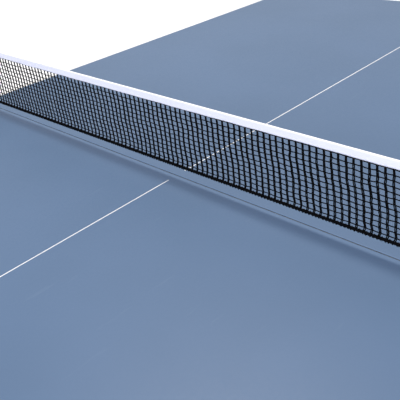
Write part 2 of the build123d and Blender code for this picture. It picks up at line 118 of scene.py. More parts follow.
ahead = Vector((
    math.cos(CAMERA_PITCH) * math.cos(CAMERA_YAW),
    math.cos(CAMERA_PITCH) * math.sin(CAMERA_YAW),
    math.sin(CAMERA_PITCH),
))
level_right = ahead.cross(Z).normalized()
level_up = level_right.cross(ahead)
right = math.cos(CAMERA_ROLL) * level_right + math.sin(CAMERA_ROLL) * level_up
up = math.cos(CAMERA_ROLL) * level_up - math.sin(CAMERA_ROLL) * level_right
camera_data = bpy.data.cameras.new("camera")
camera_data.lens = CAMERA_LENS
camera_data.sensor_width = 36
camera_data.clip_start = 0.01
camera_data.clip_end = 60
camera = bpy.data.objects.new("camera", camera_data)
turned_to_view = Matrix((right, up, -ahead)).transposed().to_4x4()
camera.matrix_world = Matrix.Translation(CAMERA_PLACE) @ turned_to_view
bpy.context.scene.collection.objects.link(camera)
bpy.context.scene.camera = camera
print("camera looks along", [round(value, 3) for value in ahead])

# %% [markdown]
# ## Light and floor
#
# Studio pictures of sports gear are lit from all around, so that nothing is darker than it has to
# be, plus one softbox high up that gives the net a shadow. The softbox hangs a little beyond the
# net, about nine degrees off the vertical, so the shadow falls on the near board as a narrow band.
# Its size sets how soft that band is. A second, much larger box stands behind the camera and fills
# the faces that look towards it, such as the net tape.

# %% World, softboxes and floor
WALL_GLOW = 1.22
CEILING_GLOW = 0.50
KEY_PLACE = Vector((0.74, 0.75, 4.7))
KEY_SIZE = 0.62
KEY_WATTS = 118.0
FILL_PLACE = Vector((-4.2, -2.2, 2.2))
FILL_SIZE = 3.2
FILL_WATTS = 215.0
FLOOR_HALF = 30.0
FLOOR_GLOW = 0.46

world = bpy.data.worlds.new("studio")
world.use_nodes = True
sky = world.node_tree
around = add(sky, "ShaderNodeTexCoord").outputs["Generated"]
direction = add(sky, "ShaderNodeSeparateXYZ", {0: around})
glow = add(sky, "ShaderNodeMapRange", {
    "Value": direction.outputs["Z"], "From Min": 0.0, "From Max": 0.9,
    "To Min": WALL_GLOW, "To Max": CEILING_GLOW,
}, interpolation_type="SMOOTHSTEP")
sky.links.new(glow.outputs["Result"], sky.nodes["Background"].inputs["Strength"])
sky.nodes["Background"].inputs["Color"].default_value = linear("F3F5FB")
bpy.context.scene.world = world
bpy.context.scene.view_settings.view_transform = "Standard"


def softbox(name, place, aim, size, watts, colour):
    """A square area lamp at a place, turned to face a point."""
    data = bpy.data.lights.new(name, "AREA")
    data.shape = "SQUARE"
    data.size = size
    data.energy = watts
    data.color = linear(colour)[:3]
    lamp = bpy.data.objects.new(name, data)
    facing = (aim - place).to_track_quat("-Z", "Y").to_matrix().to_4x4()
    lamp.matrix_world = Matrix.Translation(place) @ facing
    bpy.context.scene.collection.objects.link(lamp)
    return lamp


softbox("key_softbox", KEY_PLACE, Vector((0, 0.2, 0.76)), KEY_SIZE, KEY_WATTS, "FFF3E4")
softbox("fill_softbox", FILL_PLACE, Vector((0, 0, 0.8)), FILL_SIZE, FILL_WATTS, "F1F5FF")

# %% [markdown]
# ## Finishes: the boards
#
# The top is 19 mm fibreboard under a matte acrylic table-tennis lacquer. It is rolled on in thin
# coats and sanded, so it has no mirror in it at all, only a faint roller stipple a millimetre or
# two across, slow changes of tone over a hand's width, and fine scuffs from bats and cleaning.
# The seam edges are cut board, so they show greyish fibre under a thin seal coat.

# %% A finish and its pattern coordinates
def finish(name, **sockets):
    """A new material, its shader with fixed values set on it, and its pattern coordinates."""
    material = bpy.data.materials.new(name)
    material.use_nodes = True
    shader = material.node_tree.nodes["Principled BSDF"]
    for socket, value in sockets.items():
        shader.inputs[socket.replace("_", " ")].default_value = value
    where = add(material.node_tree, "ShaderNodeTexCoord").outputs["Object"]
    return material, material.node_tree, shader, where


def grain(tree, where, size_mm, detail=2.0, stretch=(1, 1, 1), **settings):
    """Noise whose blobs are about size_mm wide, stretched along an axis if asked."""
    placed = add(tree, "ShaderNodeMapping", {"Vector": where, "Scale": stretch}).outputs["Vector"]
    return add(tree, "ShaderNodeTexNoise", {
        "Vector": placed, "Scale": 0.5 / (size_mm * MM), "Detail": detail, "Roughness": 0.55,
    }, **settings).outputs["Fac"]


def blend_colours(tree, factor, first, second):
    """Two colours mixed by a pattern, each a hex code or the result of an earlier mix."""
    pick = [linear(c) if isinstance(c, str) else c for c in (first, second)]
    sockets = {0: factor, 6: pick[0], 7: pick[1]}
    return add(tree, "ShaderNodeMix", sockets, data_type="RGBA").outputs[2]


def ramp(tree, factor, low, high, to_low=0.0, to_high=1.0):
    """A pattern's values from low to high, spread over another range and held there."""
    return add(tree, "ShaderNodeMapRange", {
        "Value": factor, "From Min": low, "From Max": high, "To Min": to_low, "To Max": to_high,
    }).outputs["Result"]


def relief(tree, shader, height, depth_mm, strength=1.0, before=None):
    """Bump of a real depth in millimetres, added to the shader."""
    inputs = {"Height": height, "Distance": depth_mm * MM, "Strength": strength}
    if before is not None:
        inputs["Normal"] = before
    bump = add(tree, "ShaderNodeBump", inputs).outputs["Normal"]
    tree.links.new(bump, shader.inputs["Normal"])
    return bump


# %% Table-tennis lacquer, line paint, sealed fibreboard
def rolled_lacquer(name, light, dark, scuffed, roughness):
    """Matte acrylic lacquer: slow tone drift, fine stipple and pale rubbed scuffs."""
    material, tree, shader, where = finish(name, IOR=1.5, Specular_IOR_Level=0.50)
    drift = ramp(tree, grain(tree, where, 160, 3), 0.35, 0.65)
    stipple = grain(tree, where, 1.6, 3)
    specks = ramp(tree, grain(tree, where, 0.7, 1), 0.30, 0.75)
    scuffs = ramp(tree, grain(tree, where, 9, 5, stretch=(0.14, 1.0, 1.0)), 0.66, 0.80)
    tone = blend_colours(tree, drift, light, dark)
    tone = blend_colours(tree, ramp(tree, specks, 0.0, 1.0, 0.0, 0.35), tone, dark)
    tone = blend_colours(tree, ramp(tree, scuffs, 0.0, 1.0, 0.0, 0.25), tone, scuffed)
    tree.links.new(tone, shader.inputs["Base Color"])
    gloss = ramp(tree, stipple, 0.3, 0.7, roughness - 0.05, roughness + 0.06)
    tree.links.new(gloss, shader.inputs["Roughness"])
    relief(tree, shader, stipple, 0.06, 0.35)
    return material


board_lacquer = rolled_lacquer("matte_blue_table_lacquer", "516C8E", "4D6889", "7188A3", 0.48)
line_paint = rolled_lacquer("white_line_paint", "F1F3F5", "E8EBEE", "DADDE0", 0.55)


def sealed_fibreboard():
    """Cut edge of fibreboard under a seal coat: greyish, fibres lying flat along the board."""
    material, tree, shader, where = finish("sealed_fibreboard_edge", IOR=1.45)
    fibres = grain(tree, where, 1.2, 4, stretch=(0.15, 0.15, 1.0))
    layers = grain(tree, where, 4, 2, stretch=(0.05, 0.05, 1.0))
    tone = blend_colours(tree, ramp(tree, layers, 0.35, 0.65), "8B8C88", "9A9890")
    tone = blend_colours(tree, ramp(tree, fibres, 0.35, 0.70), tone, "7A766C")
    tree.links.new(tone, shader.inputs["Base Color"])
    tree.links.new(ramp(tree, fibres, 0.3, 0.7, 0.62, 0.85), shader.inputs["Roughness"])
    relief(tree, shader, fibres, 0.15, 0.6)
    return material


cut_edge = sealed_fibreboard()
under_primer = rolled_lacquer("dark_underside_primer", "2B2E33", "24272B", "4A4D52", 0.66)
print("board finishes:", [m.name for m in (board_lacquer, line_paint, cut_edge, under_primer)])

# %% [markdown]
# ## The two boards
#
# Each half is one flat panel, so a cube is the right start: it is scaled to the CAD board, its two
# outer corners are rounded, and then its rims are. The painted lines are cut into the top with
# bisect planes instead of being drawn by a texture, so their edges stay dead straight and crisp
# however close the camera comes. The thin centre line stops 20 mm short of the seam, where the
# painter's mask ended, and the 20 mm border runs round the three outer sides.

# %% Boards
CORNER_ROUND = 6 * MM
RIM_ROUND = 1 * MM
BORDER_WIDTH = 20 * MM
CENTRE_LINE_WIDTH = {"a": 1.9 * MM, "b": 2.4 * MM}
CENTRE_LINE_STOP = 20 * MM
LACQUER, LINE, EDGE, UNDER = range(4)


def bevel_edges(bm, edges, amount, segments):
    bmesh.ops.bevel(
        bm, geom=edges, offset=amount, affect="EDGES", segments=segments, profile=0.5, material=-1,
    )


def box_between(bm, low, high):
    """A box from its lowest to its highest corner; returns its vertices."""
    made = bmesh.ops.create_cube(bm, size=1.0)["verts"]
    bmesh.ops.scale(bm, vec=high - low, verts=made)
    bmesh.ops.translate(bm, vec=(low + high) / 2, verts=made)
    return made


def cut(bm, point, normal):
    bmesh.ops.bisect_plane(
        bm, geom=bm.verts[:] + bm.edges[:] + bm.faces[:], plane_co=point, plane_no=normal,
    )


def build_board(half, outward):
    """One half of the top. outward is -1 for half a and +1 for half b, along X."""
    low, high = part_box(f"top_board_{half}")
    bm = bmesh.new()
    box_between(bm, low, high)
    outer_x = (low if outward < 0 else high).x
    seam_x = (high if outward < 0 else low).x
    line_half = CENTRE_LINE_WIDTH[half] / 2
    corners = [e for e in bm.edges if all(abs(v.co.x - outer_x) < MM for v in e.verts)
               and abs(e.verts[0].co.y - e.verts[1].co.y) < MM]
    bevel_edges(bm, corners, CORNER_ROUND, 5)
    flat = [e for e in bm.edges if abs(e.verts[0].co.z - e.verts[1].co.z) < MM]
    bevel_edges(bm, flat, RIM_ROUND, 3)
    cut(bm, X * (outer_x - outward * BORDER_WIDTH), X)
    cut(bm, X * (seam_x + outward * CENTRE_LINE_STOP), X)
    for y in (high.y - BORDER_WIDTH, low.y + BORDER_WIDTH, line_half, -line_half):
        cut(bm, Y * y, Y)
    for face in bm.faces:
        centre, normal = face.calc_center_median(), face.normal
        inward = (outer_x - centre.x) * outward
        on_border = inward < BORDER_WIDTH or abs(centre.y) > high.y - BORDER_WIDTH
        on_centre = abs(centre.y) < line_half and (centre.x - seam_x) * outward > CENTRE_LINE_STOP
        faces_seam = normal.x * outward < -0.9
        if normal.z > 0.2:
            face.material_index = LINE if on_border or on_centre else LACQUER
        elif normal.z < -0.5:
            face.material_index = UNDER
        else:
            face.material_index = EDGE if faces_seam else LACQUER
        face.smooth = abs(normal.z) < 0.999
    return piece(
        f"board_{half}", bm, f"half_{half}",
        [board_lacquer, line_paint, cut_edge, under_primer], [f"top_board_{half}"],
    )


for half, outward in (("a", -1), ("b", 1)):
    build_board(half, outward)

# %% [markdown]
# ## Finishes: net and cord
#
# The net is knotted from black synthetic twine, two yarns side by side in every upright. Each yarn
# is itself twisted, which shows as fine slanted stripes of light across it. The head tape is plain
# woven cotton webbing, folded over the head cord and stitched. The bottom cord is laid from three
# strands, slightly shinier than the twine.

# %% Twine, cord and cotton tape
def twisted_yarn(name, dark, light, lay_mm, sheen):
    """Dark spun yarn: slanted twist stripes, fuzz and a soft sheen at grazing angles."""
    material, tree, shader, where = finish(
        name, IOR=1.5, Sheen_Weight=sheen, Sheen_Roughness=0.45, Specular_IOR_Level=0.06,
    )
    slant = {"Vector": where, "Rotation": (0.7, 0.5, 0.6)}
    slanted = add(tree, "ShaderNodeMapping", slant).outputs["Vector"]
    twist = add(tree, "ShaderNodeTexWave", {
        "Vector": slanted, "Scale": 0.31 / (lay_mm * MM), "Distortion": 1.2, "Detail": 2.0,
        "Detail Scale": 2.0,
    }, wave_type="BANDS", bands_direction="DIAGONAL").outputs["Fac"]
    fuzz = grain(tree, where, 0.35, 3)
    tone = blend_colours(tree, ramp(tree, twist, 0.35, 0.95), dark, light)
    tone = blend_colours(tree, ramp(tree, fuzz, 0.60, 0.80, 0.0, 0.5), tone, light)
    tree.links.new(tone, shader.inputs["Base Color"])
    tree.links.new(ramp(tree, fuzz, 0.3, 0.7, 0.62, 0.85), shader.inputs["Roughness"])
    relief(tree, shader, twist, 0.12, 0.7)
    return material


net_yarn = twisted_yarn("twisted_black_net_yarn", "020203", "08090B", 0.9, 0.0)
laid_cord = twisted_yarn("laid_black_cord", "020203", "08090B", 1.4, 0.0)


def woven_cotton(name, hollow, crown, slub_tone):
    """Plain weave webbing: threads 0.6 mm apart, drawn that coarse so that they show."""
    material, tree, shader, where = finish(
        name, IOR=1.5, Sheen_Weight=0.25, Sheen_Roughness=0.5,
        Specular_IOR_Level=0.25, Subsurface_Weight=0.0,
    )
    weft = add(tree, "ShaderNodeTexWave", {
        "Vector": where, "Scale": 0.31 / (0.6 * MM), "Distortion": 0.6, "Detail": 1.0,
    }, wave_type="BANDS", bands_direction="Y").outputs["Fac"]
    warp = add(tree, "ShaderNodeTexWave", {
        "Vector": where, "Scale": 0.31 / (0.5 * MM), "Distortion": 0.5, "Detail": 1.0,
    }, wave_type="BANDS", bands_direction="Z").outputs["Fac"]
    weave = add(tree, "ShaderNodeMath", {0: weft, 1: warp}, operation="MULTIPLY").outputs[0]
    slub = grain(tree, where, 3.5, 3, stretch=(1, 0.3, 1))
    tone = blend_colours(tree, ramp(tree, weave, 0.0, 0.6), hollow, crown)
    tone = blend_colours(tree, ramp(tree, slub, 0.55, 0.80, 0.0, 0.5), tone, slub_tone)
    tree.links.new(tone, shader.inputs["Base Color"])
    tree.links.new(ramp(tree, weave, 0.0, 1.0, 0.92, 0.80), shader.inputs["Roughness"])
    relief(tree, shader, weave, 0.10, 0.6)
    return material


# The sides of the tape are a cool, slightly greyed white: painted shade, as they face away from
# the lamp above. Faces along the fold that turn upwards get a brighter copy, a painted highlight.
cotton_tape_painted_shade = woven_cotton("woven_cotton_tape_painted_shade", "D8D7E4", "E6E5EF", "D0CEDC")
cotton_fold_painted_highlight = woven_cotton("woven_cotton_fold_painted_highlight", "F0EFF2", "FAFAFB", "ECEBEE")
net_finishes = (net_yarn, laid_cord, cotton_tape_painted_shade, cotton_fold_painted_highlight)
print("net finishes:", [material.name for material in net_finishes])

# %% [markdown]
# ## The net
#
# A net could be drawn as a texture with holes, but every thread of this one is close enough to be
# seen. So each yarn is a curve with a round section, made into a mesh at the end. The uprights come
# first. They are not evenly spaced, they lean where the net was pulled along its cord, and they
# wander in slow waves that neighbours share, because the cross threads tie them together.
# All chance comes from one seeded source, so that the net is the same each time.

# %% Places of the net's uprights and cross threads
chance = random.Random(21)
mesh_low, mesh_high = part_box("net_mesh")
tape_low, tape_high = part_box("net_tape")
cord_low, cord_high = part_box("net_cord")
CELL_ROWS = 13
UPRIGHT_SPACING = 12.07 * MM
SPACING_DRIFT = 1.2 * MM
YARN_RADIUS = 0.98 * MM
YARN_PAIR_GAP = 0.96 * MM
CROSS_RADIUS = 0.90 * MM
mesh_top = tape_low.z + 3 * MM
mesh_foot = (cord_low.z + cord_high.z) / 2
row_height = (tape_low.z - mesh_foot) / CELL_ROWS


def upright_places():
    """Y of each upright at the tape, from one end of the net to the other."""
    places, y = [], mesh_low.y + 6 * MM
    while y < mesh_high.y - 5 * MM:
        places.append(y + chance.uniform(-0.35, 0.35) * MM)
        y += UPRIGHT_SPACING + SPACING_DRIFT * y
    return places


uprights = upright_places()

# The net leans least at its left end and most at its right one. The change is gradual, and is
# centred on one place.
LEAN_LEAST = 7.0
LEAN_MORE = 5.0
LEAN_TURN = -0.17
LEAN_BLEND = 0.07
LEAN_DROP = 84.5 * MM
FOOT_HOOK = 3.2 * MM


def lean(y, drop):
    """How far an upright has moved along the net at a drop below the tape."""
    pull = LEAN_LEAST + LEAN_MORE / (1 + math.exp((y - LEAN_TURN) / LEAN_BLEND))
    return -pull * MM * drop / LEAN_DROP


def wander(y, z):
    """Slow waves along the yarns, shared by neighbours."""
    slow = math.sin(2 * math.pi * z / (72 * MM) + 2.1 * math.sin(9.0 * y) + 14.0 * y)
    quick = math.sin(2 * math.pi * z / (31 * MM) + 47.0 * y + 1.3)
    return (0.75 * slow + 0.28 * quick) * MM


def crossing(index, row):
    """Where an upright meets a cross thread, before either one's own play."""
    z = tape_low.z - row * row_height
    y = uprights[index]
    edge = min(1.0, row / 1.5) * min(1.0, (CELL_ROWS - row) / 1.5)
    hook = FOOT_HOOK if row == CELL_ROWS else 0.0
    return Vector((0, y + lean(y, tape_low.z - z) + hook + wander(y, z) * (0.4 + 0.6 * edge), z))


NET_TILT = 7.0 * MM
HANG_FADE = (0.62, 0.88)
TAPE_LIFT, TAPE_LIFT_SLOPE = 1.3, 7.5
FOOT_LIFT, FOOT_LIFT_SLOPE = 7.4, 5.2


def hang(point):
    """Moves a point of the flat, level net to where the hung net has it.

    The tape rises a little towards one post and the cord towards the other, and the foot of the
    net is drawn towards the near side. All of this fades out before the posts."""
    far_out = min(1.0, max(0.0, (abs(point.y) - HANG_FADE[0]) / (HANG_FADE[1] - HANG_FADE[0])))
    fade = 1 - far_out * far_out * (3 - 2 * far_out)
    down = max(0.0, (tape_low.z - point.z) / (tape_low.z - mesh_foot))
    tape_lift = (TAPE_LIFT + TAPE_LIFT_SLOPE * point.y) * MM
    foot_lift = (FOOT_LIFT - FOOT_LIFT_SLOPE * point.y) * MM
    lift = (1 - down) * tape_lift + down * foot_lift
    return point + Vector((-NET_TILT * down, 0, lift)) * fade


play = {
    (i, row): Vector((0, chance.gauss(0, 0.34), chance.gauss(0, 0.42))) * MM
    for i in range(len(uprights)) for row in range(1, CELL_ROWS)
}
print(len(uprights), "uprights,", CELL_ROWS, "rows of", round(row_height / MM, 2), "mm")


# %% Yarns as curves
def yarn_mesh(name, routes, radius):
    """Round yarns along routes of (point, thickness share), turned to one closed mesh."""
    curve = bpy.data.curves.new(name, "CURVE")
    curve.dimensions = "3D"
    curve.bevel_depth = radius
    curve.bevel_resolution = 1
    curve.use_fill_caps = True
    for route in routes:
        route = [(hang(point), share) for point, share in route]
        spline = curve.splines.new("POLY")
        spline.points.add(len(route) - 1)
        flat_list = [value for point, share in route for value in (*point, 1.0)]
        spline.points.foreach_set("co", flat_list)
        spline.points.foreach_set("radius", [share for point, share in route])
        spline.use_smooth = True
    holder = bpy.data.objects.new(name + "_curve", curve)
    bpy.context.scene.collection.objects.link(holder)
    bpy.context.view_layer.update()
    depsgraph = bpy.context.evaluated_depsgraph_get()
    mesh = bpy.data.meshes.new_from_object(holder.evaluated_get(depsgraph))
    bpy.data.objects.remove(holder)
    bpy.data.curves.remove(curve)
    mesh.materials.clear()
    bm = bmesh.new()
    bm.from_mesh(mesh)
    bpy.data.meshes.remove(mesh)
    bmesh.ops.recalc_face_normals(bm, faces=bm.faces)
    for face in bm.faces:
        face.smooth = True
    return bm


def upright_route(index, side):
    """One yarn of an upright: it bellies out between knots and is nipped in at them."""
    route = []
    swap = chance.uniform(0, math.tau)
    for row in range(CELL_ROWS + 1):
        knot = crossing(index, row) + play.get((index, row), Vector())
        if row == 0:
            knot.z = mesh_top
        if row == CELL_ROWS:
            knot.y += chance.uniform(-1.2, 1.2) * MM
        turn = swap + 0.55 * row + chance.uniform(-0.5, 0.5)
        spread = YARN_PAIR_GAP * (1.0 if 0 < row < CELL_ROWS else 0.8)
        off = Vector((0.22 * math.sin(turn) * MM * side, side * spread, 0))
        route.append((knot + off, 1.0))
        if row == CELL_ROWS:
            break
        after = crossing(index, row + 1) + play.get((index, row + 1), Vector())
        for share in (0.33, 0.67):
            between = knot.lerp(after, share)
            belly = side * (spread + 0.16 * MM + chance.uniform(-0.16, 0.20) * MM)
            route.append((between + Vector((off.x * 0.4, belly, 0)), chance.uniform(0.88, 1.02)))
    return route


upright_routes = [upright_route(i, side) for i in range(len(uprights)) for side in (-1, 1)]
net_uprights = piece(
    "net_uprights", yarn_mesh("net_uprights", upright_routes, YARN_RADIUS),
    "net", [net_yarn], ["net_mesh"],
)


# %% Cross threads with their sags and steps
SELVEDGE_DROP = Vector((0, 0, 0.2)) * MM


def cross_route(row):
    """One cross thread: it steps up or down at each upright and sags a little between them."""
    route = []
    for index in range(len(uprights)):
        here = crossing(index, row) + play.get((index, row), SELVEDGE_DROP)
        step = chance.uniform(-0.35, 0.35) * MM
        route.append((here + Vector((-0.35 * MM, -1.4 * MM, step)), 1.0))
        route.append((here + Vector((-0.35 * MM, 1.4 * MM, -step * 0.5)), 1.0))
        if index + 1 < len(uprights):
            there = crossing(index + 1, row) + play.get((index + 1, row), SELVEDGE_DROP)
            sag = chance.uniform(0.15, 0.75) * MM
            route.append((here.lerp(there, 0.5) - Z * sag, 0.88))
    return route


cross_routes = [cross_route(row) for row in range(CELL_ROWS)]
net_crosses = piece(
    "net_crosses", yarn_mesh("net_crosses", cross_routes, CROSS_RADIUS),
    "net", [net_yarn],
)

# %% [markdown]
# ## Knots
#
# Where a cross thread passes an upright, it is taken round both yarns and pulled tight. From any
# distance that reads as a small rounded lump lying across the upright. A short curve that swells in
# its middle gives that lump with a few dozen faces, which matters, as there are almost two
# thousand of them.

# %% Knots
KNOT_RADIUS = 1.0 * MM
KNOT_PROFILE = ((-1.75, 0.45), (-0.9, 0.95), (0.0, 1.05), (0.9, 0.95), (1.75, 0.45))


def knot_route(place):
    """One knot: a short swelling across the upright, a little turned and uneven."""
    bulk, slope = chance.uniform(0.86, 1.12), chance.uniform(-0.35, 0.35)
    return [
        (place + Vector((0, along, along * slope)) * bulk * MM, share * bulk)
        for along, share in KNOT_PROFILE
    ]


knot_routes = [knot_route(crossing(index, row) + shift) for (index, row), shift in play.items()]
net_knots = piece(
    "net_knots", yarn_mesh("net_knots", knot_routes, KNOT_RADIUS), "net", [net_yarn],
)

# %% [markdown]
# ## Head tape
#
# The tape is one strip of webbing, 34 mm wide before it was folded in half over the head cord. Its
# section is drawn as a few vertices, extruded along the net, given a wall by solidify, and nudged
# very slightly so that its lower edges are not ruler straight. A row of stitches closes it.

# %% Head tape, head cord and stitches
TAPE_WALL = 0.55 * MM
TAPE_STEPS = 180
NARROWING = 1.5 * MM
HIGHLIGHT_FACE_SLOPE = 0.30
EDGE_FLUTTER = 0.12 * MM
EDGE_RIPPLE = 0.25 * MM
STITCH_PITCH = 4.2 * MM
STITCH_RISE = 3.0 * MM
STITCH_OUT = 0.84
STITCH_PROFILE = ((-1.4, 0.5), (0, 1.0), (1.4, 0.5))
STITCH_RADIUS = 0.24 * MM
HEAD_CORD_DROP = 3.2 * MM
HEAD_CORD_RADIUS = 0.9 * MM
HEAD_CORD_STEPS = 60
tape_height = tape_high.z - tape_low.z
tape_half = (tape_high.x - tape_low.x) / 2


def tape_section():
    """Half widths of the folded strip from its lower edge up and round to the top."""
    rising = [
        (0.80, 0.0), (0.82, 0.12), (0.83, 0.30), (0.88, 0.50),
        (0.96, 0.68), (1.0, 0.80), (0.84, 0.91), (0.45, 0.985),
    ]
    left = [(-half, up) for half, up in rising]
    return left + [(0.0, 1.0)] + [(half, up) for half, up in reversed(rising)]


def build_tape():
    bm = bmesh.new()
    line = [bm.verts.new((across * tape_half, tape_low.y, tape_low.z + rise * tape_height))
            for across, rise in tape_section()]
    edges = [bm.edges.new(pair) for pair in zip(line, line[1:])]
    step = (tape_high.y - tape_low.y) / TAPE_STEPS
    for _ in range(TAPE_STEPS):
        grown = bmesh.ops.extrude_edge_only(bm, edges=edges)["geom"]
        verts = [g for g in grown if isinstance(g, bmesh.types.BMVert)]
        edges = [g for g in grown if isinstance(g, bmesh.types.BMEdge)
                 and g.verts[0] in verts and g.verts[1] in verts]
        bmesh.ops.translate(bm, vec=Y * step, verts=verts)
    for vert in bm.verts:
        low_part = 1 - (vert.co.z - tape_low.z) / tape_height
        flutter = math.sin(41 * vert.co.y + 3 * math.sin(13 * vert.co.y))
        vert.co.x += low_part * EDGE_FLUTTER * flutter
        ripple = 1 + math.sin(23 * vert.co.y + 2 * math.sin(61 * vert.co.y))
        vert.co.z += low_part * EDGE_RIPPLE * ripple
        vert.co.z += low_part * NARROWING * min(1.0, max(0.0, 0.25 - 2.5 * vert.co.y))
        vert.co = hang(vert.co)
    bmesh.ops.recalc_face_normals(bm, faces=bm.faces)
    outward_now = sum(f.normal.x * f.calc_center_median().x for f in bm.faces)
    if outward_now < 0:
        bmesh.ops.reverse_faces(bm, faces=bm.faces)
    for face in bm.faces:
        # Upward faces take the painted-highlight cotton, all others the painted-shade cotton.
        face.material_index = int(face.normal.z > HIGHLIGHT_FACE_SLOPE)
        face.smooth = True
    bmesh.ops.solidify(bm, geom=bm.faces[:], thickness=TAPE_WALL)
    return bm


net_tape_fabric = piece(
    "net_tape_fabric", build_tape(),
    "net", [cotton_tape_painted_shade, cotton_fold_painted_highlight], ["net_tape"],
)


def stitch_routes():
    """Lock stitches along both sides of the tape, just above its lower edge."""
    routes = []
    count = int((tape_high.y - tape_low.y) / STITCH_PITCH) - 1
    for number in range(1, count + 1):
        for side in (-1, 1):
            along_net = tape_low.y + number * STITCH_PITCH
            middle = Vector((side * tape_half * STITCH_OUT, along_net, tape_low.z + STITCH_RISE))
            routes.append([(middle + Y * along * MM, share) for along, share in STITCH_PROFILE])
    return routes


# The stitches wear the cotton with painted shade.
tape_stitches = piece(
    "tape_stitches", yarn_mesh("tape_stitches", stitch_routes(), STITCH_RADIUS),
    "net", [cotton_tape_painted_shade],
)
head_cord_z = tape_high.z - HEAD_CORD_DROP
head_cord_route = [
    (Vector((0, mesh_low.y + t * (mesh_high.y - mesh_low.y) / HEAD_CORD_STEPS, head_cord_z)), 1.0)
    for t in range(HEAD_CORD_STEPS + 1)
]
head_cord = piece(
    "head_cord", yarn_mesh("head_cord", [head_cord_route], HEAD_CORD_RADIUS),
    "net", [laid_cord],
)

# %% [markdown]
# ## Bottom cord
#
# A laid cord is three strands wound round each other, so it is modelled as three helices. Short
# loops of net twine lash the lowest row of the mesh to it, roughly two for each upright, and their
# ends stand out a little, which gives the cord its rough lower outline.

# %% Bottom cord and lashings
CORD_STRANDS = 3
CORD_TURN = 9 * MM
CORD_STEPS = 9
cord_radius = (cord_high.z - cord_low.z) / 2
strand_radius = cord_radius * 0.52
cord_mid = (cord_low + cord_high) / 2
LASHING_REACH = cord_radius + 0.25 * MM
LASHING_PITCH = 0.22 * MM
LASHING_RADIUS = 0.55 * MM


def strand_route(number):
    steps = int((cord_high.y - cord_low.y) / CORD_TURN * CORD_STEPS)
    route = []
    for step in range(steps + 1):
        angle = math.tau * (step / CORD_STEPS + number / CORD_STRANDS)
        away = cord_radius - strand_radius
        y = cord_low.y + step * (cord_high.y - cord_low.y) / steps
        place = Vector((away * math.cos(angle), y, cord_mid.z + away * math.sin(angle)))
        route.append((place, 1.0))
    return route


strand_routes = [strand_route(number) for number in range(CORD_STRANDS)]
bottom_cord = piece(
    "bottom_cord", yarn_mesh("bottom_cord", strand_routes, strand_radius),
    "net", [laid_cord], ["net_cord"],
)


def lashing_route(y):
    """One turn of twine round the cord, ending in a short tail."""
    start = chance.uniform(0, 0.6)
    route = []
    for step in range(8):
        angle = start + math.tau * step / 7
        out, over = LASHING_REACH * math.cos(angle), LASHING_REACH * math.sin(angle)
        route.append((Vector((out, y + step * LASHING_PITCH, cord_mid.z + over)), 1.0))
    tail = Vector((-0.4 * MM, chance.uniform(-0.8, 0.8) * MM, -chance.uniform(0.4, 1.3) * MM))
    low_point = Vector((-cord_radius * 0.4, y, cord_mid.z - cord_radius * 0.9))
    return route, [(low_point, 0.9), (low_point + tail, 0.6)]


def lashing_routes():
    routes = []
    for index, y_top in enumerate(uprights):
        foot = crossing(index, CELL_ROWS).y
        for shift in (0.0, 0.5):
            astray = chance.uniform(-0.8, 0.8) * MM
            turn, tail = lashing_route(foot + shift * UPRIGHT_SPACING + astray)
            if abs(turn[-1][0].y) < cord_high.y - MM:
                routes += [turn, tail]
    return routes


cord_lashings = piece(
    "cord_lashings", yarn_mesh("cord_lashings", lashing_routes(), LASHING_RADIUS),
    "net", [net_yarn],
)

# %% [markdown]
# ## Finishes: metal, plastic and rubber
#
# The frame is powder-coated: the baked powder flows into a skin with an orange-peel texture about a
# millimetre across. The bolts, tie rods and caster forks are zinc plated, so they are grey metal
# with cloudy, slightly bluish patches. Plastic parts have the fine spark-eroded grain of a mould,
# and rubber is matte, dusty and slightly scuffed.

# %% Coated, plated, moulded and rubber finishes
def baked_powder(name, base, dark, roughness):
    """Baked powder coat: a dull, slightly dimpled skin with tiny darker pits."""
    material, tree, shader, where = finish(name, IOR=1.5)
    peel = grain(tree, where, 1.1, 2)
    cloud = grain(tree, where, 45, 3)
    tone = blend_colours(tree, ramp(tree, cloud, 0.35, 0.65), base, dark)
    pits = ramp(tree, grain(tree, where, 0.5, 1), 0.62, 0.72, 0.0, 0.4)
    tone = blend_colours(tree, pits, tone, dark)
    tree.links.new(tone, shader.inputs["Base Color"])
    gloss = ramp(tree, peel, 0.3, 0.7, roughness - 0.06, roughness + 0.08)
    tree.links.new(gloss, shader.inputs["Roughness"])
    relief(tree, shader, peel, 0.08, 0.5)
    return material


def zinc_plate(name, base, cloudy, brushed):
    """Zinc plate: bright grey metal, cloudy in patches, finely lined where it was brushed."""
    material, tree, shader, where = finish(name, Metallic=1.0)
    cloud = grain(tree, where, 7, 3)
    lines = grain(tree, where, 0.6, 3, stretch=brushed)
    tone = blend_colours(tree, ramp(tree, cloud, 0.35, 0.65), base, cloudy)
    tree.links.new(tone, shader.inputs["Base Color"])
    tree.links.new(ramp(tree, lines, 0.3, 0.7, 0.30, 0.46), shader.inputs["Roughness"])
    relief(tree, shader, lines, 0.02, 0.4)
    return material


def moulded(name, base, worn, roughness, grain_mm, depth_mm, ior):
    """Moulded plastic or rubber: an even fine grain, paler where it has been rubbed."""
    material, tree, shader, where = finish(name, IOR=ior)
    texture = grain(tree, where, grain_mm, 2)
    rubbed = ramp(tree, grain(tree, where, 14, 4), 0.58, 0.78)
    tone = blend_colours(tree, ramp(tree, rubbed, 0.0, 1.0, 0.0, 0.6), base, worn)
    tree.links.new(tone, shader.inputs["Base Color"])
    gloss = ramp(tree, texture, 0.3, 0.7, roughness - 0.06, roughness + 0.08)
    tree.links.new(gloss, shader.inputs["Roughness"])
    relief(tree, shader, texture, depth_mm, 0.5)
    return material


